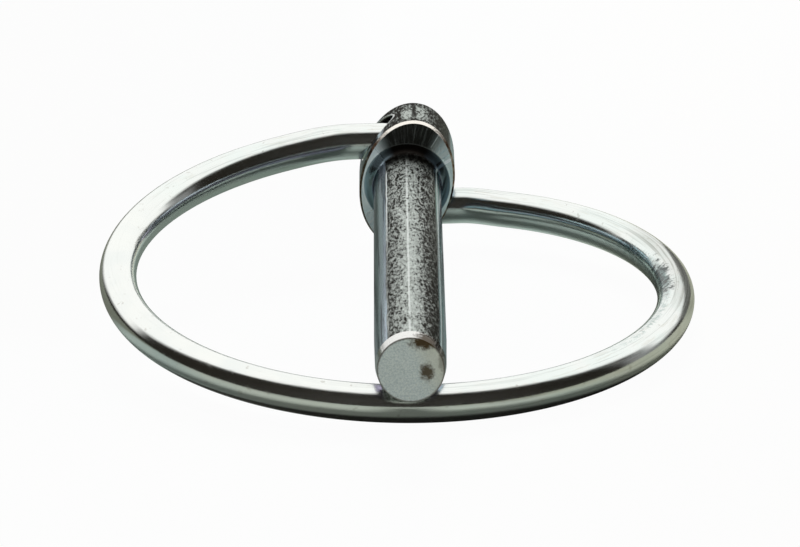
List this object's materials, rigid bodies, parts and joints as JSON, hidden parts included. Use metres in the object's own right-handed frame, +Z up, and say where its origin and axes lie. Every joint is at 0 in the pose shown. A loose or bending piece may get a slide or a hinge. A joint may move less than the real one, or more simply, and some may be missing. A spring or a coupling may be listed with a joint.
{
  "type": "lynch pin",
  "caption": "Lynch pin: a short round pin with an oval head and a spring wire ring that swings on the head and closes against the shank.",
  "frame": {"origin": "on the pin's axis in the plane of the head's front face, where the shank begins", "axes": "-Y along the shank towards the tip, +X along the ring's pivots to the right as seen from the tip, +Z up, square to the closed ring"},
  "size_m": [0.0511, 0.0555, 0.0124],
  "materials": {
    "pin": "zinc plated forged steel, mottled",
    "ring": "bright zinc plated spring wire"
  },
  "bodies": {
    "pin": {"pin": "pin"},
    "ring": {"ring": "ring"}
  },
  "joints": [
    {"name": "ring_hinge", "type": "hinge", "parent": "pin", "child": "ring", "pos_m": [0, 0.0032, 0], "axis": [1, 0, 0], "range_deg": [0, 349], "deforming": ["ring"]}
  ]
}
